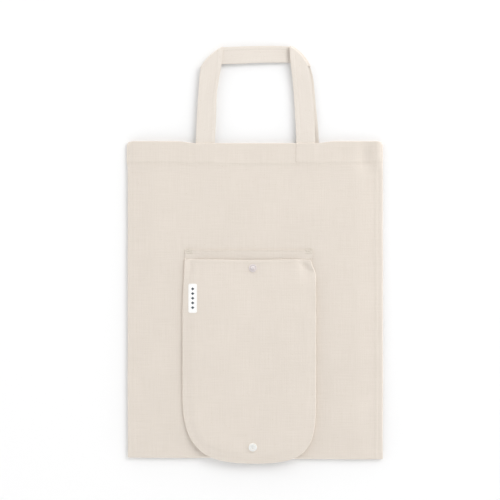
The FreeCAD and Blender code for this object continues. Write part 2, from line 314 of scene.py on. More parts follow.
def tail_mask(x, y, shift=0.0):
    """1 over the two strap ends inside the hem. The right one is pressed sharp along its inner edge."""
    left = plateau(x, *LEFT_TAIL, 5.0)
    low, high = RIGHT_TAIL[0] + shift, RIGHT_TAIL[1] + shift
    right = ramp(x, low - 0.8, low) * (1 - ramp(x, high - 3, high + 7)) - 0.45 * bump(x, low - 1.2, 0.9)
    return (0.5 * left + right) * ramp(y, HEM_LOW + 3.4, HEM_LOW + 5.0)


def seam_rise(distance):
    """0 at a turned seam, part of the way up over its allowance, and 1 where the cloth is free of it."""
    lip = quarter_round(distance / LIP)
    return LIP_SHARE * lip + (1 - LIP_SHARE) * ramp(distance, ALLOWANCE - 2, FREE)


def ripple(x, y, seed=0.0):
    """The soft waves of cloth that lies flat."""
    wide = soft_noise(x, y, 74.0, 3.1 + seed)
    small = soft_noise(x * 1.2, y * 0.8, 27.0, 8.7 + seed)
    return setting("cloth", "ripple") * (wide + 0.32 * small)


def pucker(along, distance, seed):
    """Small waves that run out from a seam."""
    wave = soft_noise(along, distance * 0.35, 6.5, seed)
    return setting("cloth", "pucker") * wave * bump(distance, 6.0, 9.0)


def hem_creases(x, y):
    """What pressing leaves near the hem's ends: a hollow and a ridge at the right, a low one at the left."""
    hollow = 3.1 * bump(x, HOLLOW[0], 9.0) * bump(y, HOLLOW[1], 17.0)
    ridge = 3.0 * bump(x, RIGHT_RIDGE, 6.0) * ramp(y, 378, 400)
    return ridge - hollow + 1.2 * bump(x, LEFT_RIDGE, 8.0) * ramp(y, 376, 400)


def corner_drop(x, y):
    """How far the left end of the hem rolls over toward the floor."""
    return 1.7 * (1 - ramp(x, BAG_LEFT - 1, BAG_LEFT + 8)) * ramp(y, 384, 400)


def front_height(x, y):
    """Height of the middle of the front cloth."""
    side = np.minimum(x - BAG_LEFT, BAG_RIGHT - x)
    rise = seam_rise(side) * seam_rise(y)
    z = EDGE_Z + FRONT_CLOTH / 2 + (FRONT_FACE - FRONT_CLOTH - EDGE_Z) * rise
    z = z + SEAM_RIDGE * (bump(side, ALLOWANCE - 1.4, 1.7) + bump(y, ALLOWANCE - 1.4, 1.7))
    z = z + pucker(y, side, 5.5) + pucker(x, y, 9.5)
    z = z + ripple(x, y) * ramp(np.minimum(side, y), 2, 30)
    z = z + HEM_STEP * ramp(y, HEM_LOW - 1.0, HEM_LOW + 1.2) - HEM_GROOVE * bump(y, HEM_LOW + 1.2, 0.9)
    return z + TAIL_RISE * tail_mask(x, y) + hem_creases(x, y) - corner_drop(x, y)


def back_height(x, y):
    """Height of the middle of the back cloth, which lies on the floor."""
    edge = np.minimum(np.minimum(x - BAG_LEFT, BAG_RIGHT - x), y)
    lift = 0.3 * (1 - quarter_round(edge / LIP)) + 0.7 * (1 - ramp(edge, 0, 24))
    wave = 0.18 * (1 + soft_noise(x, y, 60.0, 21.0)) * ramp(edge, 4, 30)
    return FRONT_CLOTH / 2 + (EDGE_Z - FRONT_CLOTH) * lift + wave - corner_drop(x, y)


def settle(x, y):
    """How the flat outline settles: the mouth dips between the handles, and the edges are a little wavy."""
    dip = MOUTH_DIP * ramp(x, -104, -78) * (1 - ramp(x, 82, 108)) * ramp(y, MOUTH_HINGE, BAG_TOP)
    edge = ramp(np.abs(x), 110, 170)
    side = (0.7 * soft_noise(y, x * 0, 70.0, 41.0) * np.sign(x) + np.where(x > 0, 0.9, 1.9)) * edge
    side = side - 1.3 * ramp(-x, 110, 170) * ramp(y, HEM_LOW - 6, HEM_LOW + 3)
    low = (0.6 * soft_noise(x, y * 0, 66.0, 47.0) + 1.0 - 2.0 * ramp(x, -80, 120)) * (1 - ramp(y, 0, 50))
    corner = ramp(np.abs(x), 160, 170) * ramp(y, BAG_TOP - 6, BAG_TOP)
    return x + side - 1.8 * np.sign(x) * corner, y - dip + low - 0.9 * corner


def laid(x, y, z):
    """Points of the bag body, settled."""
    return stack(*settle(x, y), z)


# ---------------------------------------------------------------- materials


def linear(text):
    """An sRGB hex value as linear RGBA."""
    channels = [int(text[i:i + 2], 16) / 255 for i in (1, 3, 5)]
    return [c / 12.92 if c <= 0.04045 else ((c + 0.055) / 1.055) ** 2.4 for c in channels] + [1.0]


def add_node(tree, kind, settings=None, inputs=None):
    """Adds a node. settings are its own properties, and inputs are values or sockets to link."""
    node = tree.nodes.new(kind)
    for key, value in (settings or {}).items():
        setattr(node, key, value)
    for key, value in (inputs or {}).items():
        if isinstance(value, bpy.types.NodeSocket):
            tree.links.new(value, node.inputs[key])
        else:
            node.inputs[key].default_value = value
    return node


def new_material(name):
    """An empty node material and its tree."""
    material = bpy.data.materials.new(name)
    material.use_nodes = True
    material.node_tree.nodes.clear()
    return material, material.node_tree


def surface(tree, inputs):
    """The shader, with its inputs, and the material's output."""
    shader = add_node(tree, "ShaderNodeBsdfPrincipled", inputs=inputs)
    add_node(tree, "ShaderNodeOutputMaterial", inputs={"Surface": shader.outputs[0]})


def shade_of(colour, share):
    """A linear colour made darker or lighter, by one share or by one for each channel."""
    return [min(1.0, c * k) for c, k in zip(colour, np.broadcast_to(share, 3).tolist())] + [1.0]


def woven(name, colour, pitch, slub=1.0):
    """Plain-weave cotton: matt, faintly fuzzy, with thread relief and uneven yarn.

    Undyed cotton scatters light evenly and has a soft fuzz that brightens it at low angles. Its yarns are
    uneven, so they show as short, faint streaks both ways. Real threads are about 0.5 mm apart, too fine to
    show, so pitch draws them coarser.
    """
    material, tree = new_material(name)
    uv = add_node(tree, "ShaderNodeUVMap", {"uv_map": "cloth"}).outputs[0]
    flat = add_node(tree, "ShaderNodeSeparateXYZ", inputs={0: uv})
    # The streaks are about as wide as a thread, and run along the warp, then along the weft
    streak_sizes = ((1.3 * MM, 38 * MM), (34 * MM, 1.2 * MM))
    waves, streaks = [], []
    for axis, (wide, high) in enumerate(streak_sizes):
        angle = add_node(tree, "ShaderNodeMath", {"operation": "MULTIPLY"},
                         {0: flat.outputs[axis], 1: math.pi / (pitch * MM)}).outputs[0]
        waves.append(add_node(tree, "ShaderNodeMath", {"operation": "SINE"}, {0: angle}).outputs[0])
        drawn = add_node(tree, "ShaderNodeMapping", {"vector_type": "POINT"},
                         {"Vector": uv, "Scale": (1 / wide, 1 / high, 1)}).outputs[0]
        streaks.append(add_node(tree, "ShaderNodeTexNoise", {"noise_dimensions": "2D"},
                                {"Vector": drawn, "Scale": 1.0, "Detail": 2.0, "Roughness": 0.6}).outputs[0])
    weave = add_node(tree, "ShaderNodeMath", {"operation": "MULTIPLY"}, {0: waves[0], 1: waves[1]}).outputs[0]
    yarn = add_node(tree, "ShaderNodeMath", {"operation": "ADD"}, {0: streaks[0], 1: streaks[1]}).outputs[0]
    cloud = add_node(tree, "ShaderNodeTexNoise", {"noise_dimensions": "2D"},
                     {"Vector": uv, "Scale": 1 / (46 * MM), "Detail": 4.0, "Roughness": 0.55}).outputs[0]
    fleck = add_node(tree, "ShaderNodeTexVoronoi", {"feature": "F1", "voronoi_dimensions": "2D"},
                     {"Vector": uv, "Scale": 1 / (17 * MM), "Randomness": 1.0}).outputs[0]
    speck = add_node(tree, "ShaderNodeMapRange", {"interpolation_type": "SMOOTHSTEP"},
                     {0: fleck, 1: 0.012, 2: 0.028, 3: 1.0, 4: 0.0}).outputs[0]

    base = linear(colour)
    tone = add_node(tree, "ShaderNodeMapRange", inputs={0: yarn, 1: 0.66, 2: 1.34}).outputs[0]
    dark, light = shade_of(base, (0.972, 0.966, 0.955)), shade_of(base, 1.02)
    mixed = add_node(tree, "ShaderNodeMix", {"data_type": "RGBA"},
                     {"Factor": tone, "A": dark, "B": light}).outputs["Result"]
    shade = add_node(tree, "ShaderNodeMapRange", inputs={
        0: cloud, 1: 0.3, 2: 0.7, 3: 0.99, 4: 1.01}).outputs[0]
    shaded = add_node(tree, "ShaderNodeVectorMath", {"operation": "SCALE"},
                      {0: mixed, "Scale": shade}).outputs[0]
    flecked = add_node(tree, "ShaderNodeMix", {"data_type": "RGBA"},
                       {"Factor": speck, "A": shaded, "B": linear("#D2C5B2")}).outputs["Result"]
    relief = add_node(tree, "ShaderNodeMath", {"operation": "MULTIPLY_ADD"},
                      {0: yarn, 1: 1.4 * slub, 2: weave}).outputs[0]
    bumped = add_node(tree, "ShaderNodeBump", inputs={
        "Height": relief, "Strength": 0.5, "Distance": 0.11 * MM}).outputs[0]
    surface(tree, {"Base Color": flecked, "Normal": bumped, "Roughness": 0.92, "Specular IOR Level": 0.25,
                   "Sheen Weight": 0.12, "Sheen Roughness": 0.6})
    return material


def sewing_thread(name, colour):
    """Spun cotton thread: matt, with a fine twist that breaks up the light."""
    material, tree = new_material(name)
    place = add_node(tree, "ShaderNodeTexCoord").outputs["Object"]
    twist = add_node(tree, "ShaderNodeTexNoise", inputs={
        "Vector": place, "Scale": 1 / (0.5 * MM), "Detail": 2.0}).outputs[0]
    base = linear(colour)
    mixed = add_node(tree, "ShaderNodeMix", {"data_type": "RGBA"}, {
        "Factor": twist, "A": shade_of(base, 0.94), "B": base}).outputs["Result"]
    bumped = add_node(tree, "ShaderNodeBump", inputs={
        "Height": twist, "Strength": 0.4, "Distance": 0.05 * MM}).outputs[0]
    surface(tree, {"Base Color": mixed, "Normal": bumped, "Roughness": 0.8})
    return material


def acetal(name, colour):
    """Moulded acetal: a waxy, slightly translucent plastic with a soft gloss and faint flow marks."""
    material, tree = new_material(name)
    place = add_node(tree, "ShaderNodeTexCoord").outputs["Object"]
    flow = add_node(tree, "ShaderNodeTexNoise", inputs={
        "Vector": place, "Scale": 1 / (2.2 * MM), "Detail": 3.0, "Distortion": 1.2}).outputs[0]
    gloss = add_node(tree, "ShaderNodeMapRange", inputs={0: flow, 3: 0.24, 4: 0.36}).outputs[0]
    base = linear(colour)
    tint = add_node(tree, "ShaderNodeMix", {"data_type": "RGBA"}, {
        "Factor": flow, "A": shade_of(base, 0.95), "B": base}).outputs["Result"]
    surface(tree, {"Base Color": tint, "Roughness": gloss, "IOR": 1.48, "Subsurface Weight": 0.35,
                   "Subsurface Scale": 1.2 * MM, "Subsurface Radius": (1.0, 0.9, 0.8)})
    return material


def label_tape(name):
    """White satin-woven tape with a row of plain diamonds woven in dark grey down its middle."""
    material, tree = new_material(name)
    uv = add_node(tree, "ShaderNodeUVMap", {"uv_map": "cloth"}).outputs[0]
    flat = add_node(tree, "ShaderNodeSeparateXYZ", inputs={0: uv})
    across, along = flat.outputs[0], flat.outputs[1]
    step, half_wide, half_long = 6.2 * MM, 2.3 * MM, 2.1 * MM
    repeat = add_node(tree, "ShaderNodeMath", {"operation": "PINGPONG"}, {0: along, 1: step / 2}).outputs[0]
    reach = add_node(tree, "ShaderNodeMath", {"operation": "DIVIDE"}, {0: repeat, 1: half_long}).outputs[0]
    wide = add_node(tree, "ShaderNodeMath", {"operation": "ABSOLUTE"}, {0: across}).outputs[0]
    span = add_node(tree, "ShaderNodeMath", {"operation": "MULTIPLY_ADD"},
                    {0: wide, 1: 1 / half_wide, 2: reach}).outputs[0]
    inside = add_node(tree, "ShaderNodeMapRange", inputs={
        0: span, 1: 0.93, 2: 1.07, 3: 1.0, 4: 0.0}).outputs[0]
    far = add_node(tree, "ShaderNodeMath", {"operation": "ABSOLUTE"}, {0: along}).outputs[0]
    ends = add_node(tree, "ShaderNodeMath", {"operation": "LESS_THAN"}, {0: far, 1: 2.55 * step}).outputs[0]
    mark = add_node(tree, "ShaderNodeMath", {"operation": "MULTIPLY"}, {0: inside, 1: ends}).outputs[0]
    tinted = add_node(tree, "ShaderNodeMix", {"data_type": "RGBA"}, {
        "Factor": mark, "A": linear("#FBFBFA"), "B": linear("#4A5157")}).outputs["Result"]
    ribs = add_node(tree, "ShaderNodeTexWave", {"wave_type": "BANDS", "bands_direction": "Y"}, {
        "Vector": uv, "Scale": 1 / (0.5 * MM) / 20, "Distortion": 0.4}).outputs[1]
    bumped = add_node(tree, "ShaderNodeBump", inputs={
        "Height": ribs, "Strength": 0.3, "Distance": 0.05 * MM}).outputs[0]
    surface(tree, {"Base Color": tinted, "Normal": bumped, "Roughness": 0.55})
    return material


def floor_paper(name):
    """Matt white studio paper."""
    material, tree = new_material(name)
    place = add_node(tree, "ShaderNodeTexCoord").outputs["Object"]
    grain = add_node(tree, "ShaderNodeTexNoise", inputs={
        "Vector": place, "Scale": 1 / (2.5 * MM), "Detail": 2.0}).outputs[0]
    bumped = add_node(tree, "ShaderNodeBump", inputs={
        "Height": grain, "Strength": 0.05, "Distance": 0.1 * MM}).outputs[0]
    surface(tree, {"Base Color": linear("#F9F9F9"), "Normal": bumped, "Roughness": 0.95,
                   "Specular IOR Level": 0.1})
    return material


CANVAS = "washed cotton canvas"
STRAP = "pressed cotton strap"
THREAD = "spun cotton thread"
ACETAL = "moulded white acetal"
CLEAR_ACETAL = "moulded clear-white acetal"
TAPE = "satin label tape"
PAPER = "white studio paper"

MAKERS = {
    CANVAS: lambda name: woven(name, bpy.context.scene.tote_cloth.colour, setting("cloth", "weave_pitch")),
    STRAP: lambda name: woven(name, bpy.context.scene.tote_handle.colour, 0.8, slub=0.7),
    THREAD: lambda name: sewing_thread(name, bpy.context.scene.tote_cloth.thread),
    ACETAL: lambda name: acetal(name, "#EAEAE7"),
    CLEAR_ACETAL: lambda name: acetal(name, "#DAD2D1"),
    TAPE: label_tape,
    PAPER: floor_paper,
}


def finish_of(name):
    """The named material, made the first time that it is asked for."""
    return bpy.data.materials.get(name) or MAKERS[name](name)


def mount(piece, body, slot, *nodes):
    """Rides a piece on a body, and hides the frame's nodes that it replaces. slot is not used."""
    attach(piece, body)
    if nodes:
        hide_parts(*nodes)


# ---------------------------------------------------------------- bag body

SIDE_ZONE = 9.0        # half the width of cloth that bends where a side folds
BACK_SHIFT = 3.0       # how far the back handle's right leg stands outside the front one's


def side_lines(start, stop):
    """Grid lines across the bag, close together at the seams, the folds and the strap ends."""
    fine = [(BAG_LEFT, BAG_LEFT + LIP, 0.45), (BAG_LEFT + LIP, BAG_LEFT + 13, 1.1),
            (BAG_RIGHT - 13, BAG_RIGHT - LIP, 1.1), (BAG_RIGHT - LIP, BAG_RIGHT, 0.45)]
    for fold in (FOLD_LEFT, FOLD_RIGHT):
        fine.append((fold - SIDE_ZONE, fold + SIDE_ZONE, 1.5))
    for edge in LEFT_TAIL + RIGHT_TAIL:
        fine.append((edge - 2, edge + 2, 0.7))
    return ruled(start, stop, 3.6, fine)


def rise_lines(start, stop):
    """Grid lines up the bag, close together at the bottom seam and the hem."""
    fine = [(0, LIP, 0.45), (LIP, 13, 1.1), (HEM_LOW - 3, HEM_LOW + 5, 0.55), (BAG_TOP - 4, BAG_TOP, 0.9)]
    return ruled(start, stop, 3.8, fine)


def turned_rows(ys, turn_y, hem_low, radius, steps=7):
    """Rows up to a folded edge, round it and back down the turned-in hem.

    Returns each row's Y, how far it lies below the outer layer, and its place along the flat cloth.
    """
    angles = np.linspace(0, math.pi, steps + 2)[1:-1]
    hem = np.linspace(turn_y, hem_low, 12)
    y = np.concatenate([ys, turn_y + radius * np.sin(angles), hem])
    depth = np.concatenate([ys * 0, radius * (1 - np.cos(angles)), hem * 0 + 2 * radius])
    along = np.concatenate([[0], np.cumsum(np.hypot(np.diff(y), np.diff(depth)))]) + ys[0]
    return y, depth, along


def front_lower(name, start, stop):
    """Front cloth below the mouth's crease."""
    x, y = grid_of(side_lines(start, stop), rise_lines(0, MOUTH_HINGE))
    middle = laid(x, y, front_height(x, y))
    return sheet_piece(name, middle, canvas_thickness(), stack(x, y), finish_of(CANVAS))


def front_upper(name, start, stop, tucked=0):
    """Front cloth from the mouth's crease up, round the mouth and down inside as the hem.

    tucked is 1 or -1 where the cloth carries on to the right or the left, thinned, under its neighbour.
    """
    turn = BAG_TOP - HEM_TURN - canvas_thickness() / 2
    ys, depth, along = turned_rows(rise_lines(MOUTH_HINGE, turn), turn, HEM_LOW, HEM_TURN)
    edge = stop if tucked > 0 else start
    flange = [edge + tucked * step for step in ((0.4, 1.2, 2.2, 3.2) if tucked else ())]
    x, y = grid_of(np.unique(np.concatenate([side_lines(start, stop), flange])), ys)
    under_next = ramp((x - edge) * tucked, 0, 0.4)
    inner = ramp(depth, HEM_TURN, 2 * HEM_TURN)[:, None]
    under = tail_mask(x, y * 0 + BAG_TOP) * strap_thickness() * inner
    side = np.minimum(x - BAG_LEFT, BAG_RIGHT - x)
    closer = depth[:, None] * 0.45 * (1 - ramp(side, 0, FREE))
    z = front_height(x, np.minimum(y, turn)) - depth[:, None] - under + closer - 0.5 * under_next
    thick = canvas_thickness() * (1 - 0.55 * under_next)
    return sheet_piece(name, laid(x, y, z), thick, stack(x, along[:, None]), finish_of(CANVAS))


def back_cloth(name, start, stop):
    """Back cloth from the bottom seam up, round the mouth and down inside as the hem."""
    turn = BAG_TOP - HEM_TURN - canvas_thickness() / 2
    ys, depth, along = turned_rows(rise_lines(0, turn), turn, HEM_LOW, HEM_TURN)
    x, y = grid_of(side_lines(start, stop), ys)
    inner = ramp(depth, HEM_TURN, 2 * HEM_TURN)[:, None]
    over = tail_mask(x, y * 0 + BAG_TOP, BACK_SHIFT) * strap_thickness() * inner
    z = back_height(x, np.minimum(y, turn)) + depth[:, None] + over
    flat = stack(x, along[:, None])
    return sheet_piece(name, laid(x, y, z)[:, ::-1], canvas_thickness(), flat[:, ::-1], finish_of(CANVAS))


def fold_zone(piece):
    """Bakes a piece's placement into its mesh."""
    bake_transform(piece)


# Each half of the body: its side, where it starts and stops, its fold, and which way is outward
HALVES = (("left", BAG_LEFT, MIDDLE_X, FOLD_LEFT, -1), ("right", MIDDLE_X, BAG_RIGHT, FOLD_RIGHT, 1))


class TOTE_OT_back(bpy.types.Operator):
    """Back of the bag, in two halves"""
    bl_idname = "tote.back"
    bl_label = "Bag back"

    def execute(self, context):
        for side, start, stop, fold, sign in HALVES:
            piece = back_cloth(f"back_cloth_{side}", start, stop)
            fold_zone(piece)
            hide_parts(f"{side}_back_panel", f"{side}_back_hem",
                        *(["centre_back_panel", "centre_back_hem"] if side == "left" else []))
        return {"FINISHED"}


class TOTE_OT_front(bpy.types.Operator):
    """Front of the bag: two halves below the mouth's crease, a middle and two corners above it"""
    bl_idname = "tote.front"
    bl_label = "Bag front"

    def execute(self, context):
        for side, start, stop, fold, sign in HALVES:
            piece = front_lower(f"front_cloth_{side}", start, stop)
            fold_zone(piece)
            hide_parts(f"{side}_front_panel", *(["centre_front_panel"] if side == "left" else []))

            edge = BAG_LEFT if side == "left" else BAG_RIGHT
            corner = front_upper(f"front_corner_{side}", *sorted((edge, fold)), tucked=-sign)
            seam_top = np.array((edge - sign * ALLOWANCE, BAG_TOP))
            crease = np.array((fold, MOUTH_HINGE)) - seam_top
            crease /= np.linalg.norm(crease)
            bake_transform(corner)
            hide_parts(f"{side}_front_corner", f"{side}_front_hem")

        middle = front_upper("front_cloth_mouth", FOLD_LEFT, FOLD_RIGHT)
        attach(middle, "mouth_front")
        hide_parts("front_panel_upper", "centre_front_hem")
        return {"FINISHED"}


def seam_strip(name, x, y):
    """Two raw edges turned to the inside along a seam, lying on the back cloth."""
    z = back_height(x, y) + FRONT_CLOTH / 2 + 0.55 + 0.12 * soft_noise(x, y, 14.0, 63.0)
    return sheet_piece(name, laid(x, y, z), 0.9, stack(x, y), finish_of(CANVAS))


class TOTE_OT_seams(bpy.types.Operator):
    """Seam allowances inside the sides and the bottom"""
    bl_idname = "tote.seams"
    bl_label = "Seam allowances"

    def execute(self, context):
        inset, width = 0.6 * LIP, ALLOWANCE + 0.2
        for side, start in (("left", BAG_LEFT + inset), ("right", BAG_RIGHT - ALLOWANCE)):
            x, y = grid_of(ruled(start, start + ALLOWANCE - inset, 1.3), ruled(ALLOWANCE, BAG_TOP - 1.5, 4.0))
            strip = seam_strip(f"side_seam_{side}", x, y)
            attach(strip, f"{side}_side")
            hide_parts(f"{side}_side_seam")
        for part, start, stop, body in (
            ("left", BAG_LEFT + inset, FOLD_LEFT - 1, "left_side"),
            ("centre", FOLD_LEFT + 1, FOLD_RIGHT - 1, "bag_centre"),
            ("right", FOLD_RIGHT + 1, BAG_RIGHT - inset, "right_side"),
        ):
            x, y = grid_of(ruled(start, stop, 4.0), ruled(inset, ALLOWANCE, 1.3))
            strip = seam_strip(f"bottom_seam_{part}", x, y)
            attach(strip, body)
            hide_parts(f"{part}_bottom_seam")
        return {"FINISHED"}


# ---------------------------------------------------------------- handles

STRAP_WIDTH = 25.4
LEG_Z = FRONT_FACE - FRONT_CLOTH - 0.6    # height of the front handle's legs, which pass under the front hem
BAR_DROP = 1.25                           # how far the bar lies below the legs, which fold over it
SLANT = 1 / math.sqrt(2)


def evenly(line, count):
    """Points at even distances along a line."""
    gone = np.concatenate([[0], np.cumsum(np.linalg.norm(np.diff(line, axis=0), axis=1))])
    want = np.linspace(0, gone[-1], count)
    return np.stack([np.interp(want, gone, line[:, k]) for k in range(3)], axis=1)


def path_of(points, steps):
    """A smooth line through the points, in about as many steps as asked."""
    points = np.array(points, float)
    poles = np.vstack([2 * points[0] - points[1], points, 2 * points[-1] - points[-2]])
    whole = np.linalg.norm(np.diff(points, axis=0), axis=1).sum()
    last = len(points) - 2
    out = []
    for i in range(last + 1):
        a, b, c, d = poles[i:i + 4]
        count = max(2, round(steps * np.linalg.norm(c - b) / whole))
        t = np.linspace(0, 1, count, endpoint=i == last)[:, None]
        out.append(0.5 * (2 * b + (c - a) * t + (2 * a - 5 * b + 4 * c - d) * t**2
                          + (3 * b - a - 3 * c + d) * t**3))
    return np.concatenate(out)


def strap_run(first_edge, second_edge, steps):
    """One flat run of strap between its two edges, each with as many points as the other."""
    edges = [path_of(edge, steps) for edge in (first_edge, second_edge)]
    count = max(len(edge) for edge in edges)
    return [evenly(edge, count) for edge in edges]


def level(z, *points):
    return [(x, y, z) for x, y in points]


def strap_runs(leg_z, bar_z, corner_lift):
    """A handle's left leg, bar and right leg, each as two edges. The right roll rises by corner_lift."""
    top, tail = BAG_TOP - MOUTH_DIP, HEM_LOW + 3
    low_bar = bar_z - 0.55 * corner_lift
    left_out = level(leg_z, (LEFT_TAIL[0], tail), (LEFT_TAIL[0], top), (-76.2, 455), (-74.5, 484),
                     (-72.7, 509), (-71.2, 519.2))
    left_in = level(leg_z, (LEFT_TAIL[1], tail), (LEFT_TAIL[1], top), (-50.9, 455), (-50.0, 484),
                    (-46.9, 505.6), (-43.5, 524.4), (-41.6, 547.0))
    bar_low = (level(bar_z, (-71.2, 519.2), (-43.3, 524.3), (-20, 525.2), (3, 526.4))
               + level(low_bar, (30, 526.8), (48, 526.2), (71.5, 521.0)))
    bar_up = (level(bar_z, (-41.6, 547.0), (-20, 547.9), (3, 548.6))
              + level(low_bar, (30, 548.9), (47.0, 548.0)))
    right_out = (level(leg_z + 0.3 * corner_lift, (71.5, 521.0))
                 + level(leg_z + 0.2 * corner_lift, (75.3, 507))
                 + level(leg_z, (77.6, 484), (80.0, 455), (RIGHT_TAIL[1], top), (RIGHT_TAIL[1], tail)))
    right_in = (level(leg_z + corner_lift, (47.0, 548.0), (48.2, 527))
                + level(leg_z + 0.3 * corner_lift, (50.6, 506))
                + level(leg_z, (52.5, 484), (54.4, 455), (RIGHT_TAIL[0], top), (RIGHT_TAIL[0], tail)))
    return (strap_run(left_out, left_in, 60), strap_run(bar_low, bar_up, 50),
            strap_run(right_out, right_in, 60))


def turned_over(before, after, way):
    """The two edges where one run turns over into the next, bulging out the way given."""
    share = np.linspace(0, math.pi, 10)[1:-1, None]
    out = np.array((*way, 0)) * 0.8 * np.sin(share)
    return [a[-1] + (b[0] - a[-1]) * (1 - np.cos(share)) / 2 + out for a, b in zip(before, after)]


def strap(name, leg_z, bar_z, shift, corner_lift):
    """One handle: up the left leg, round the left crease, across, round the right roll and down."""
    leg, bar, last_leg = strap_runs(leg_z, bar_z, corner_lift)
    ways = ((-SLANT, SLANT), (SLANT, SLANT))
    runs = [leg, turned_over(leg, bar, ways[0]), bar, turned_over(bar, last_leg, ways[1]), last_leg]
    first, second = (np.concatenate([run[k] for run in runs]) for k in (0, 1))
    ends = np.cumsum([len(run[0]) for run in runs])
    # Columns stand close together at both edges and at the overlap that is sewn down along the strap
    across = np.concatenate([[0, 0.018, 0.05], np.linspace(0.1, 0.75, 14), [0.765, 0.78, 0.795, 0.81],
                             [0.85, 0.9, 0.95, 0.982, 1]])
    middle = first[:, None] * (1 - across)[None, :, None] + second[:, None] * across[None, :, None]
    x, y, z = (middle[..., k] for k in range(3))

    # Both corners bulge a little
    for low, high, way in ((ends[0], ends[1], ways[0]), (ends[2], ends[3], ways[1])):
        near = bump(np.arange(len(middle)), (low + high) / 2, 9.0)[:, None] * np.sin(math.pi * across) * 2.9
        x += near * way[0]
        y += near * way[1]
    # The back handle's right leg stands further out, and lies clear of the floor above the hem
    x += (shift + 1.8 * ramp(-y, -470, -BAG_TOP) * (shift > 0)) * ramp(x, 0, 40)
    z += 2.7 * (shift > 0) * ramp(y, BAG_TOP, BAG_TOP + 25) * ramp(-y, -510, -480) * ramp(x, 0, 40)
    # The bar dips where the roll folds over it
    dip = slice(ends[1], ends[2])
    z[dip] -= 1.4 * bump(x[dip], 45.6, 2.4) * plateau(y[dip], 524, 541, 6)

    gone = np.concatenate([[0], np.cumsum(np.linalg.norm(np.diff(middle[:, 11], axis=0), axis=1))])
    along, wide = np.broadcast_arrays(gone[:, None], across[None, :])
    z += 0.35 * soft_noise(along, wide * 10, 34.0, 12.0 + leg_z) * (1 - bump(y, 420, 40))
    thick = strap_thickness() * (1 - (np.abs(wide - 0.5) * 2) ** 12 * 0.65
                                 + 0.3 * ramp(wide, 0.78, 0.81) - 0.25 * bump(wide, 0.775, 0.012)
                                 - 0.12 * bump(wide, 0.12, 0.025) - 0.12 * bump(wide, 0.88, 0.025))
    flat = stack((wide - 0.5) * STRAP_WIDTH, along)
    return sheet_piece(name, middle[:, ::-1], thick[:, ::-1], flat[:, ::-1], finish_of(STRAP), sharp=60)


class TOTE_OT_handles(bpy.types.Operator):
    """Front and back strap handles"""
    bl_idname = "tote.handles"
    bl_label = "Handles"

    def execute(self, context):
        for side, held_by, leg_z, bar_z, shift, corner_lift in (
            ("front", "mouth_front", LEG_Z, LEG_Z - BAR_DROP, 0.0, 1.5),
            ("back", "bag_centre", FRONT_CLOTH + 0.7, FRONT_CLOTH + 0.7 + BAR_DROP, BACK_SHIFT, 0.0),
        ):
            handle = strap(f"{side}_handle", leg_z, bar_z, shift, corner_lift)
            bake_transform(handle)
            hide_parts(f"{side}_handle_strap", f"{side}_handle_ends")
        return {"FINISHED"}


# ---------------------------------------------------------------- pouch

LEFT_ROUND = ((POUCH_LEFT, 85.0), (POUCH_LEFT, 10.0), (-66.0, POUCH_TIP), (0.0, POUCH_TIP))
RIGHT_ROUND = ((POUCH_RIGHT, 72.0), (POUCH_RIGHT, 8.0), (66.0, POUCH_TIP), (0.0, POUCH_TIP))
POUCH_HEM = 5.5                      # depth of the turned-in mouth
POUCH_EDGE_Z = POUCH_UNDER + 1.15    # height of the sewn outline
MOUTH_TURN = POUCH_MOUTH - 0.4       # where the mouth's cloth starts to turn in
BAND_LOW = 266.8                     # where the sewn top edge meets the hanging back layer
BAND_SEWN = 274.6                    # where it is sewn down from
BAND_STITCH = 275.4                  # its row of stitches


def bezier(poles, t):
    a, b, c, d = (np.array(p, float) for p in poles)
    t = np.asarray(t, float)[:, None]
    return a * (1 - t) ** 3 + 3 * b * t * (1 - t) ** 2 + 3 * c * t**2 * (1 - t) + d * t**3


def pouch_sides(top, straight_rows=64, round_rows=64):
    """The pouch's left and right edge points, from its top down to its tip, row by row.

    The mouth is pulled in a little at both ends.
    """
    out = []
    for poles, pull in ((LEFT_ROUND, 3.0), (RIGHT_ROUND, -6.2)):
        x, start = poles[0]
        ys = np.linspace(top, start, straight_rows, endpoint=False)
        drawn = pull * (ramp(ys, 190, 279) if pull > 0 else ramp(ys, 242, 264) - 0.4 * ramp(ys, 265, 273))
        straight = np.stack([x + drawn, ys], axis=1)
        t = 1 - (1 - np.linspace(0, 1, round_rows)) ** 1.25
        out.append(np.concatenate([straight, bezier(poles, t)]))
    return out


def pouch_grid(top):
    """Points over the pouch, rows from its tip up, columns from left to right, and the outline."""
    left, right = (side[::-1] for side in pouch_sides(top))
    offsets = np.array([0, 0.25, 0.7, 1.3, 2.1, 3.1, 4.2, 5.4, 6.8, 8.6, 11.0, 14.0, 17.5])
    width = np.linalg.norm(right - left, axis=1)
    shrink = np.minimum(1, width / 60)[:, None]
    inner = np.linspace(0, 1, 42)[1:-1][None, :]
    near = offsets[None, :] * shrink
    span = width[:, None] - 2 * near[:, -1:]
    distance = np.concatenate([near, near[:, -1:] + span * inner, width[:, None] - near[:, ::-1]], axis=1)
    share = distance / np.maximum(width, 1e-9)[:, None]
    grid = left[:, None] * (1 - share)[..., None] + right[:, None] * share[..., None]
    outline = np.concatenate([left[::-1], right[1:]])
    return grid[..., 0], grid[..., 1], outline


def to_outline(x, y, outline):
    """Distance from each point to the pouch's sewn outline."""
    a, b = outline[:-1], outline[1:]
    along = b - a
    length2 = np.maximum((along**2).sum(axis=1), 1e-12)
    points = np.stack([x.ravel(), y.ravel()], axis=1)
    best = np.full(len(points), 1e9)
    for start, way, size in zip(a, along, length2):
        t = np.clip(((points - start) @ way) / size, 0, 1)
        best = np.minimum(best, np.linalg.norm(points - start - t[:, None] * way, axis=1))
    return best.reshape(x.shape)


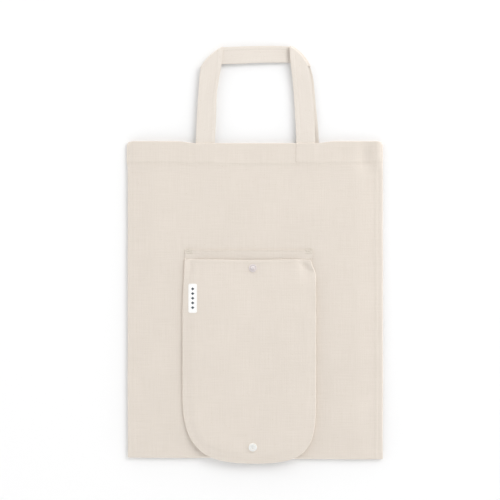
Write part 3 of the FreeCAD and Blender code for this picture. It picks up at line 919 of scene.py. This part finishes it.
def pouch_sag(x, y):
    """How much lower the pouch's front cloth lies toward its mouth."""
    return 2.5 * ramp(y, 185, 262) + 1.4 * (1 - ramp(x, POUCH_LEFT, -58)) * ramp(y, 225, POUCH_MOUTH)


def pouch_face(x, y, distance):
    """Height of the middle of the pouch's front cloth, steeper at its right edge than at its left."""
    right = ramp(x, 10, 62)
    lip = quarter_round(distance / (1.6 - 0.9 * right))
    flat_corner = 0.68 * ramp(x, 52, 76) * ramp(y, 226, 256)
    full = (POUCH_FACE - FRONT_CLOTH / 2 - POUCH_EDGE_Z) * (1 - flat_corner)
    share = 0.38 + 0.5 * right
    z = POUCH_EDGE_Z + full * (share * lip + (1 - share) * ramp(distance, 4.0, 15.0))
    z = z + 0.28 * (1 - right) * bump(distance, 4.6, 1.1)
    z = z + 0.10 * soft_noise(x, y, 8.0, 31.0) * bump(distance, 5, 5)
    snaps = [bump(np.hypot(x - s[0], y - s[1]), 0, 15.0) for s in snap_places()]
    calm = 1 - np.clip(sum(snaps), 0, 1)
    z = z + ripple(x, y, 17.0) * 1.2 * ramp(distance, 5, 24) * calm
    z = z - pouch_sag(x, y) * ramp(distance, 0, 12)
    corner_fold = (x - 60.0) * 0.57 + (y - 261.0) * 0.82
    z = z - 1.1 * bump(corner_fold, 0, 3.2) * ramp(x, 55, 66)
    z = z - 0.7 * (1 - ramp(y, -5.5, 2.2)) + 0.62 * bump(y, 1.6, 1.2) * ramp(distance, 3, 8)
    return z + 0.16 * bump(y, 85.0, 1.6) * plateau(x, -92, -62, 8)


def snap_places():
    out = []
    for node in ("snap_stud", "snap_socket"):
        low, high = corners(node)
        out.append(((low[0] + high[0]) / 2, (low[1] + high[1]) / 2 - SEAM_Y))
    return out


def mouth_droop(x, y):
    """How much lower the slack mouth of the pouch hangs in its middle and at its right corner."""
    return (0.9 * bump(x, -5, 38) + 1.3 * ramp(x, 58, 78)) * ramp(y, 240, POUCH_MOUTH)


def pouch_front(name):
    """Front layer of the pouch, with its mouth turned in."""
    x, y, outline = pouch_grid(MOUTH_TURN)
    z = pouch_face(x, y, to_outline(x, y, outline))
    layers, cuts = [stack(x, y, z)], [stack(x, y)]
    radius = 0.42
    top_x, top_y, top_z = x[-1], y[-1], z[-1]
    for a in np.linspace(0, math.pi, 7)[1:-1]:
        layers.append(stack(top_x, top_y + radius * math.sin(a), top_z - radius * (1 - math.cos(a)))[None])
        cuts.append(stack(top_x, top_y + radius * a)[None])
    for down in np.linspace(0, POUCH_HEM, 7)[1:]:
        layers.append(stack(top_x, top_y - down, top_z - 2 * radius)[None])
        cuts.append(stack(top_x, top_y + radius * math.pi + down)[None])
    middle = np.concatenate(layers)
    middle[..., 1] -= mouth_droop(middle[..., 0], middle[..., 1])
    return sheet_piece(name, middle, 0.6, np.concatenate(cuts), finish_of(CANVAS))


def pouch_back(name):
    """Back layer of the pouch below its sewn top edge."""
    x, y, outline = pouch_grid(BAND_LOW)
    distance = to_outline(x, y, outline)
    z = POUCH_UNDER + 0.32 + 0.5 * (1 - quarter_round(distance / 1.6)) - 0.5 * (1 - ramp(y, -6, 1))
    z = z + 0.10 * soft_noise(x, y, 22.0, 51.0) * ramp(distance, 3, 12)
    return sheet_piece(name, stack(x, y, z)[:, ::-1], 0.55, stack(x, y)[:, ::-1], finish_of(CANVAS))


def pouch_band(name):
    """The pouch's top edge, turned under and sewn down on the front of the bag."""
    left, right = (side[0] for side in pouch_sides(POUCH_TOP, 2, 2))
    xs = ruled(left[0], right[0], 2.6, [(left[0], left[0] + 12, 1.0), (right[0] - 12, right[0], 1.0)])
    ys = [BAND_LOW, 268.5, 270.5, 272, 273.2, 274.2, 275.0, 275.7, 276.3, 276.8, POUCH_TOP]
    x, y = grid_of(xs, ys)
    sewn = ramp(y, 272.0, BAND_SEWN)
    hung = POUCH_UNDER + 0.32
    z = hung * (1 - sewn) + (front_height(x, y) + FRONT_CLOTH / 2 + 0.62) * sewn
    z = z + 0.05 * soft_noise(x, y, 5.0, 71.0) * sewn - 0.2 * bump(y, BAND_STITCH, 0.6)
    return sheet_piece(name, stack(x, y, z), 0.55 + 0.55 * sewn, stack(x, y), finish_of(CANVAS))


class TOTE_OT_pouch(bpy.types.Operator):
    """The hanging pouch: its front and back layers and its sewn top edge"""
    bl_idname = "tote.pouch"
    bl_label = "Pouch"

    def execute(self, context):
        for name, make, length, nodes in (
            ("pouch_cloth_back", pouch_back, BAND_LOW - POUCH_TIP, ("pouch_back_upper", "pouch_back_lower")),
            ("pouch_cloth_front", pouch_front, POUCH_MOUTH - POUCH_TIP + POUCH_HEM,
             ("pouch_front_upper", "pouch_front_lower", "pouch_mouth_hem", "pouch_seam_upper",
              "pouch_seam_lower")),
        ):
            piece = make(name)
            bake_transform(piece)
            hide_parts(*nodes)
        band = pouch_band("pouch_top_edge")
        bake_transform(band)
        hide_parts("pouch_sewn_edge")
        return {"FINISHED"}


# ---------------------------------------------------------------- stitching


def stitch_tree(name, material):
    """Geometry nodes: short, round-ended stitches end to end along the edges of a line."""
    tree = bpy.data.node_groups.new(name, "GeometryNodeTree")
    face = tree.interface
    face.new_socket("Geometry", in_out="INPUT", socket_type="NodeSocketGeometry")
    for label, default in (("Spacing", 3.0), ("Stitch", 2.4), ("Radius", 0.22)):
        socket = face.new_socket(label, in_out="INPUT", socket_type="NodeSocketFloat")
        socket.default_value = default * MM
    face.new_socket("Geometry", in_out="OUTPUT", socket_type="NodeSocketGeometry")
    given = add_node(tree, "NodeGroupInput")
    curve = add_node(tree, "GeometryNodeMeshToCurve", inputs={"Mesh": given.outputs["Geometry"]})
    spaced = add_node(tree, "GeometryNodeResampleCurve", {"mode": "LENGTH"},
                      {"Curve": curve.outputs[0], "Length": given.outputs["Spacing"]})
    tangent = add_node(tree, "GeometryNodeInputTangent")
    turned = add_node(tree, "FunctionNodeAlignRotationToVector", {"axis": "X"},
                      {"Vector": tangent.outputs[0]})
    loop = add_node(tree, "GeometryNodeMeshUVSphere", inputs={"Segments": 6, "Rings": 4, "Radius": 1.0})
    half = add_node(tree, "ShaderNodeMath", {"operation": "MULTIPLY"}, {0: given.outputs["Stitch"], 1: 0.5})
    wobble = add_node(tree, "FunctionNodeRandomValue", {"data_type": "FLOAT"},
                      {"Min": 0.9, "Max": 1.08, "Seed": 7})
    uneven = add_node(tree, "ShaderNodeMath", {"operation": "MULTIPLY"},
                      {0: half.outputs[0], 1: wobble.outputs["Value"]})
    size = add_node(tree, "ShaderNodeCombineXYZ", inputs={
        "X": uneven.outputs[0], "Y": given.outputs["Radius"], "Z": given.outputs["Radius"]})
    placed = add_node(tree, "GeometryNodeInstanceOnPoints", inputs={
        "Points": spaced.outputs[0], "Instance": loop.outputs[0],
        "Rotation": turned.outputs[0], "Scale": size.outputs[0]})
    solid = add_node(tree, "GeometryNodeRealizeInstances", inputs={"Geometry": placed.outputs[0]})
    smooth = add_node(tree, "GeometryNodeSetShadeSmooth", inputs={"Geometry": solid.outputs[0]})
    painted = add_node(tree, "GeometryNodeSetMaterial",
                       inputs={"Geometry": smooth.outputs[0], "Material": material})
    add_node(tree, "NodeGroupOutput", inputs={"Geometry": painted.outputs[0]})
    return tree


def stitch_row(name, lines, **sizes):
    """Stitches along each line of points, as one plain mesh. sizes are spacing, stitch and radius, in mm."""
    tree = bpy.data.node_groups.get("lockstitch") or stitch_tree("lockstitch", finish_of(THREAD))
    points, edges = [], []
    for line in lines:
        first = len(points)
        points.extend(row_point(*p) for p in line)
        edges.extend((k, k + 1) for k in range(first, len(points) - 1))
    mesh = bpy.data.meshes.new(name)
    mesh.from_pydata(points, edges, [])
    guide = bpy.data.objects.new(name + "_guide", mesh)
    bpy.context.collection.objects.link(guide)
    modifier = guide.modifiers.new("stitches", "NODES")
    modifier.node_group = tree
    for item in tree.interface.items_tree:
        if item.in_out == "INPUT" and item.socket_type == "NodeSocketFloat":
            size = item.name.lower()
            modifier[item.identifier] = (sizes.get(size) or setting("stitch", size)) * MM
    graph = bpy.context.evaluated_depsgraph_get()
    result = bpy.data.meshes.new_from_object(guide.evaluated_get(graph), depsgraph=graph)
    guide.modifiers.remove(modifier)
    bpy.data.objects.remove(guide)
    if not result.materials:
        result.materials.append(finish_of(THREAD))
    piece = bpy.data.objects.new(name, result)
    bpy.context.collection.objects.link(piece)
    return piece


def on_front(xs, y):
    """Points just on the face of the front cloth along one height."""
    x = np.asarray(xs, float)
    return laid(x, x * 0 + y, front_height(x, x * 0 + y) + canvas_thickness() / 2 - 0.02)


def pouch_surface():
    """A lookup for the height of the pouch's front face."""
    outline = pouch_grid(MOUTH_TURN)[2]

    def height(x, y):
        return pouch_face(x, y, to_outline(x, y, outline)) + 0.3

    return height


class TOTE_OT_stitching(bpy.types.Operator):
    """Rows of lockstitch along the hem, the pouch and its mouth, and the bar tacks"""
    bl_idname = "tote.stitching"
    bl_label = "Stitching"

    def execute(self, context):
        y = HEM_LOW + 2.0
        tuck = (y - MOUTH_HINGE) / (BAG_TOP - MOUTH_HINGE)
        crease_left = FOLD_LEFT + (BAG_LEFT + ALLOWANCE - FOLD_LEFT) * tuck + 12
        crease_right = FOLD_RIGHT + (BAG_RIGHT - ALLOWANCE - FOLD_RIGHT) * tuck - 12
        for name, start, stop, body, nodes in (
            ("hem_thread_centre", FOLD_LEFT, FOLD_RIGHT, "mouth_front", ["centre_hem_thread"]),
            ("hem_thread_left", crease_left, FOLD_LEFT, "left_mouth_corner", ["left_hem_thread"]),
            ("hem_thread_right", FOLD_RIGHT, crease_right, "right_mouth_corner", ["right_hem_thread"]),
            ("hem_thread_left_end", BAG_LEFT + 1.5, crease_left, "left_side", []),
            ("hem_thread_right_end", crease_right, BAG_RIGHT - 1.5, "right_side", []),
        ):
            lines = [on_front(np.linspace(start, stop, max(3, int((stop - start) / 2))), y)]
            if body == "mouth_front":
                for low, high in (LEFT_TAIL, RIGHT_TAIL):
                    lines.append(on_front(np.linspace(low + 1.5, high - 1.5, 12), y + 2.8))
            mount(stitch_row(name, lines), body, "cotton_thread", *nodes)

        def on_band(xs):
            return front_height(xs, xs * 0 + BAND_STITCH) + FRONT_CLOTH / 2 + 1.02

        left, right = (side[0][0] for side in pouch_sides(POUCH_TOP, 2, 2))
        xs = np.linspace(left + 9, right - 9, 80)
        mount(stitch_row("pouch_seam_stitches", [stack(xs, BAND_STITCH, on_band(xs))]),
              "bag_centre", "cotton_thread", "pouch_seam_thread")

        # A bar tack is 17 slanted stitches side by side, 9 mm long in all
        tacks = []
        for start in (left + 0.8, right - 9.8):
            for k, x in enumerate(np.linspace(start, start + 9.0, 17)):
                lean, z = (0.35 if k % 2 else -0.35), float(on_band(x))
                tacks.append([(x - lean, 273.9, z), (x + lean, 277.0, z)])
        mount(stitch_row("pouch_bar_tack_stitches", tacks, spacing=9.0, stitch=3.4, radius=0.3),
              "bag_centre", "cotton_thread", "pouch_bar_tacks")

        xs = np.linspace(POUCH_LEFT + 9, POUCH_RIGHT - 10, 90)
        ys = xs * 0 + POUCH_MOUTH - POUCH_HEM + 1.2
        line = stack(xs, ys - mouth_droop(xs, ys), pouch_surface()(xs, ys))
        mount(stitch_row("pouch_mouth_stitches", [line]),
              "pouch_upper", "cotton_thread", "pouch_mouth_thread")
        return {"FINISHED"}


# ---------------------------------------------------------------- label


def rounded_rows(width, length, radius, steps=6):
    """Rows of a rounded rectangle about its centre: half width at each height."""
    angles = np.linspace(0, math.pi / 2, steps)
    low = -length / 2 + radius * (1 - np.cos(angles))
    half_low = width / 2 - radius + radius * np.sin(angles)
    heights = np.concatenate([low, np.linspace(low[-1], -low[-1], 22)[1:-1], -low[::-1]])
    halves = np.concatenate([half_low, np.full(20, width / 2), half_low[::-1]])
    return heights, halves


class TOTE_OT_label(bpy.types.Operator):
    """The woven label and the stitches that hold it"""
    bl_idname = "tote.label"
    bl_label = "Label"

    def execute(self, context):
        low, high = corners("woven_label")
        centre_x, centre_y = (low[0] + high[0]) / 2, (low[1] + high[1]) / 2 - SEAM_Y
        width, length = 11.4, high[1] - low[1]
        height = pouch_surface()
        heights, halves = rounded_rows(width, length, 2.2)
        x = centre_x + halves[:, None] * np.linspace(-1, 1, 13)[None, :]
        y = np.broadcast_to((centre_y + heights)[:, None], x.shape)
        flat = stack(x - centre_x, y - centre_y)
        label = sheet_piece("label", stack(x, y, height(x, y) + 0.2), 0.32, flat, finish_of(TAPE))
        mount(label, "pouch_upper", "label_tape", "woven_label")

        inset = 1.0
        heights, halves = rounded_rows(width - 2 * inset, length - 2 * inset, 1.4)
        around = np.concatenate([halves, -halves[::-1], halves[:1]])
        up = np.concatenate([heights, heights[::-1], heights[:1]])
        x, y = centre_x + around, centre_y + up
        sewn = stitch_row("label_stitches", [stack(x, y, height(x, y) + 0.38)], spacing=1.9, stitch=1.45,
                          radius=0.15)
        mount(sewn, "pouch_upper", "cotton_thread", "label_thread")
        return {"FINISHED"}


# ---------------------------------------------------------------- press fastener


def lathe(name, centre, profile, material, segments=72):
    """A closed turned piece from (radius, height) points, bottom centre to top centre."""
    turns = np.linspace(0, 2 * math.pi, segments, endpoint=False)
    points, rings = [], []
    for radius, z in profile:
        if radius < 1e-6:
            rings.append([len(points)])
            points.append((centre[0], centre[1], z))
        else:
            rings.append(list(range(len(points), len(points) + segments)))
            points.extend((centre[0] + radius * math.cos(t), centre[1] + radius * math.sin(t), z)
                          for t in turns)
    faces = []
    for lower, upper in zip(rings, rings[1:]):
        for k in range(segments):
            n = (k + 1) % segments
            if len(lower) == 1:
                faces.append((lower[0], upper[n], upper[k]))
            elif len(upper) == 1:
                faces.append((lower[k], lower[n], upper[0]))
            else:
                faces.append((lower[k], lower[n], upper[n], upper[k]))
    return finish_mesh(name, points, faces, material, sharp=38)


def arc(cx, cz, radius, start, stop, steps):
    """Points of a round stretch of a profile, angles in degrees."""
    angles = np.radians(np.linspace(start, stop, steps))
    return [(cx + radius * math.cos(a), cz + radius * math.sin(a)) for a in angles]


class TOTE_OT_fastener(bpy.types.Operator):
    """The stud and the socket of the press fastener, with the caps behind them"""
    bl_idname = "tote.fastener"
    bl_label = "Press fastener"

    def execute(self, context):
        stud_at, socket_at = snap_places()
        sag = pouch_sag(*stud_at)
        base = POUCH_FACE - 0.12    # the cloth's face, with the plastic pressed a little into it
        low, top = base - sag, corners("snap_stud")[1][2] - sag
        rim = corners("snap_socket")[1][2]
        stud = [(0, low), (5.4, low), *arc(4.9, low + 0.72, 0.5, -30, 90, 7), (3.7, low + 1.12),
                *arc(3.1, low + 1.42, 0.42, -90, -170, 5), (2.25, low + 1.55), (1.75, low + 1.9),
                *arc(1.28, top - 0.72, 0.66, -20, 80, 7), (0.5, top - 0.08), (0, top - 0.12)]
        socket = [(0, base), (5.5, base), *arc(4.6, rim - 1.15, 0.95, -25, 88, 9), (3.6, rim - 0.32),
                  *arc(2.9, rim - 0.42, 0.42, 60, 175, 6), (2.3, rim - 0.7), (1.5, rim - 0.72),
                  (1.0, rim - 0.45), (0.5, rim - 0.32), (0, rim - 0.3)]
        halves = (("stud", stud_at, stud, CLEAR_ACETAL, "pouch_upper", sag),
                  ("socket", socket_at, socket, ACETAL, "pouch_lower", 0.0))
        for half, place, profile, finish, body, _ in halves:
            face = lathe(f"fastener_{half}", place, profile, finish_of(finish))
            mount(face, body, "snap_plastic", f"snap_{half}")
        for half, place, _, _, body, drop in halves:
            low = corners(f"snap_{half}_cap")[0][2] - drop
            seat = POUCH_FACE - 0.62 - drop
            behind = [(0, low), (1.8, low + 0.05), (3.6, low + 0.22), (5.2, low + 0.55),
                      *arc(5.75, low + 1.0, 0.36, -50, 90, 6), (3.0, seat), (0.85, seat), (0.8, seat + 0.55),
                      (0, seat + 0.55)]
            cap = lathe(f"fastener_{half}_cap", place, behind, finish_of(ACETAL))
            mount(cap, body, "snap_plastic", f"snap_{half}_cap")
        return {"FINISHED"}


# ---------------------------------------------------------------- stage


class TOTE_OT_stage(bpy.types.Operator):
    """White floor, soft studio light and a camera looking straight down"""
    bl_idname = "tote.stage"
    bl_label = "Stage"

    def execute(self, context):
        scene = context.scene
        stage = scene.tote_stage
        edge = (-2.5, 2.5)    # metres, well past what the camera sees
        mesh = bpy.data.meshes.new("floor")
        mesh.from_pydata([(x, y, -0.02 * MM) for y in edge for x in edge], [], [(0, 1, 3, 2)])
        mesh.materials.append(finish_of(PAPER))
        floor = bpy.data.objects.new("floor", mesh)
        bpy.context.collection.objects.link(floor)

        # White light from all round, brighter near the horizon, so that the soft shadow hugs the bag
        world = bpy.data.worlds.new("even white light")
        scene.world = world
        world.use_nodes = True
        tree = world.node_tree
        tree.nodes.clear()
        way = add_node(tree, "ShaderNodeTexCoord").outputs["Generated"]
        height = add_node(tree, "ShaderNodeSeparateXYZ", inputs={0: way}).outputs[2]
        above = add_node(tree, "ShaderNodeMath", {"operation": "MAXIMUM"}, {0: height, 1: 0.0}).outputs[0]
        raised = add_node(tree, "ShaderNodeMath", {"operation": "ADD"}, {0: above, 1: 0.2}).outputs[0]
        bright = add_node(tree, "ShaderNodeMath", {"operation": "DIVIDE"},
                          {0: stage.sky, 1: raised}).outputs[0]
        sky = add_node(tree, "ShaderNodeBackground", inputs={"Color": (1, 1, 1, 1), "Strength": bright})
        add_node(tree, "ShaderNodeOutputWorld", inputs={"Surface": sky.outputs[0]})
        scene.view_settings.view_transform = "Standard"

        key = bpy.data.lights.new("key", "AREA")
        key.shape, key.size, key.energy = "DISK", 0.8, stage.key
        slant = bpy.data.lights.new("slant", "SUN")
        slant.angle, slant.energy = math.radians(25), stage.sun
        for lamp, place in ((key, (0.55, 1.05, 0.95)), (slant, (1.0, 0.75, 0.85))):
            light = bpy.data.objects.new(lamp.name, lamp)
            light.location = place
            light.rotation_euler = (-Vector(place)).to_track_quat("-Z", "Y").to_euler()
            bpy.context.collection.objects.link(light)

        lens = bpy.data.cameras.new("camera")
        lens.sensor_width = 36.0
        lens.lens = lens.sensor_width * stage.camera_height / stage.frame_width
        lens.clip_end = 50.0
        camera = bpy.data.objects.new("camera", lens)
        camera.location = (-5.7 * MM, 5.4 * MM, stage.camera_height)
        bpy.context.collection.objects.link(camera)
        scene.camera = camera
        return {"FINISHED"}


# ---------------------------------------------------------------- add-on


GROUPS = {"tote_cloth": ToteCloth, "tote_handle": ToteHandle, "tote_stitch": ToteStitch,
          "tote_stage": ToteStage}
OPERATORS = (TOTE_OT_back, TOTE_OT_front, TOTE_OT_seams, TOTE_OT_handles, TOTE_OT_pouch, TOTE_OT_stitching,
             TOTE_OT_label, TOTE_OT_fastener, TOTE_OT_stage)


class TOTE_PT_panel(bpy.types.Panel):
    """Lists the bag's sizes and colours, and a button for each group of pieces"""
    bl_label = "Folding cotton tote"
    bl_idname = "TOTE_PT_panel"
    bl_space_type = "VIEW_3D"
    bl_region_type = "UI"
    bl_category = "Tote"

    def draw(self, context):
        for name in GROUPS:
            group = getattr(context.scene, name)
            box = self.layout.box()
            for key in group.bl_rna.properties.keys():
                if key not in ("rna_type", "name"):
                    box.prop(group, key)
        for operator in OPERATORS:
            self.layout.operator(operator.bl_idname)


def register():
    for cls in (*GROUPS.values(), *OPERATORS, TOTE_PT_panel):
        bpy.utils.register_class(cls)
    for name, cls in GROUPS.items():
        setattr(bpy.types.Scene, name, bpy.props.PointerProperty(type=cls))


def unregister():
    for name in GROUPS:
        delattr(bpy.types.Scene, name)
    for cls in reversed((*GROUPS.values(), *OPERATORS, TOTE_PT_panel)):
        bpy.utils.unregister_class(cls)


def main():
    register()
    bpy.ops.tote.back()
    bpy.ops.tote.front()
    bpy.ops.tote.seams()
    bpy.ops.tote.handles()
    bpy.ops.tote.pouch()
    bpy.ops.tote.stitching()
    bpy.ops.tote.label()
    bpy.ops.tote.fastener()
    bpy.ops.tote.stage()


if __name__ == "__main__":
    main()
